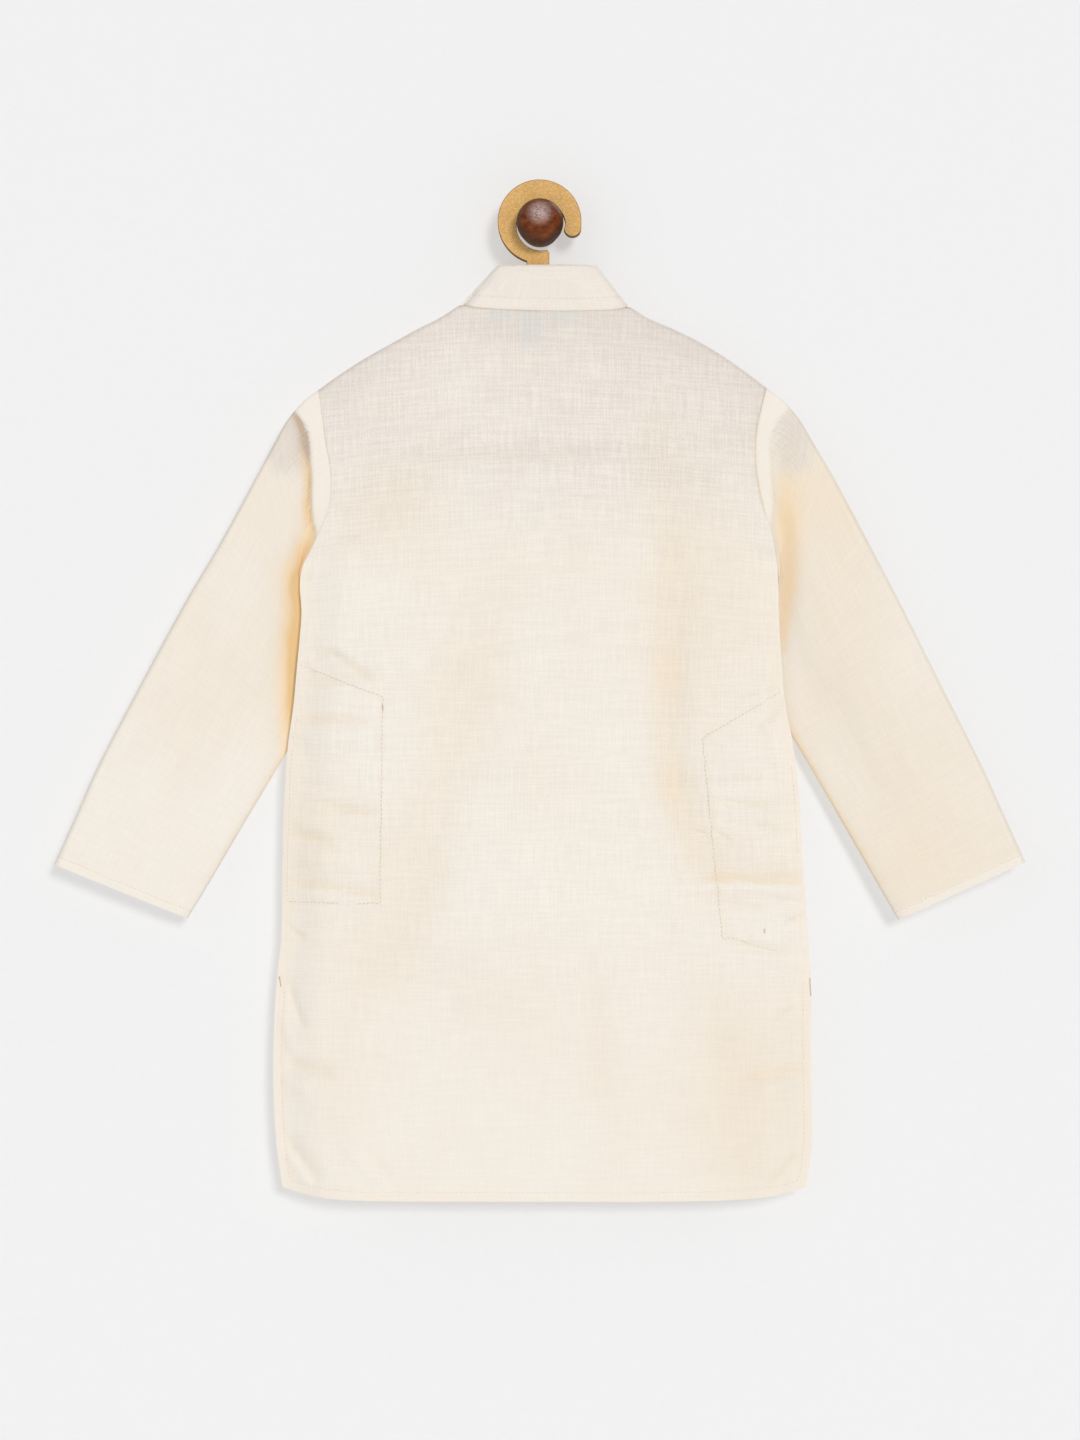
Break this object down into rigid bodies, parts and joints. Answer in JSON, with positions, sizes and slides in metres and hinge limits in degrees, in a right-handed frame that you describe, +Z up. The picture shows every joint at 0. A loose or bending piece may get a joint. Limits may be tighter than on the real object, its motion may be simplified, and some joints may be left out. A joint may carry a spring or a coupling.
{
  "type": "kurta tunic on a wooden hanger and wall knob",
  "caption": "Child's plain kurta tunic with a stand-up collar, long sleeves and side slits, hung flat on a wooden hanger from a turned wall knob.",
  "frame": {"origin": "centre of the wall knob's flat round face, where it meets the wall, on the knob's axis", "axes": "+Z up, +Y into the wall, +X to the right of someone who faces the wall and sees the tunic's back"},
  "size_m": [0.6427, 0.0502, 0.6739],
  "materials": {
    "cotton": "cream slub cotton voile",
    "label": "blank woven label",
    "button": "satin",
    "board": "fibreboard, sealed, with scorched edges",
    "knob": "dark varnish"
  },
  "bodies": {
    "root": {"back_panel": "cotton", "front_panel": "cotton", "sleeve_left": "cotton", "sleeve_right": "cotton", "collar": "cotton", "placket": "cotton", "pocket_left": "cotton", "pocket_right": "cotton", "neck_label": "label", "size_label": "label", "button_1": "button", "button_2": "button", "button_3": "button", "hanger": "board", "wall_knob": "knob"}
  },
  "joints": []
}
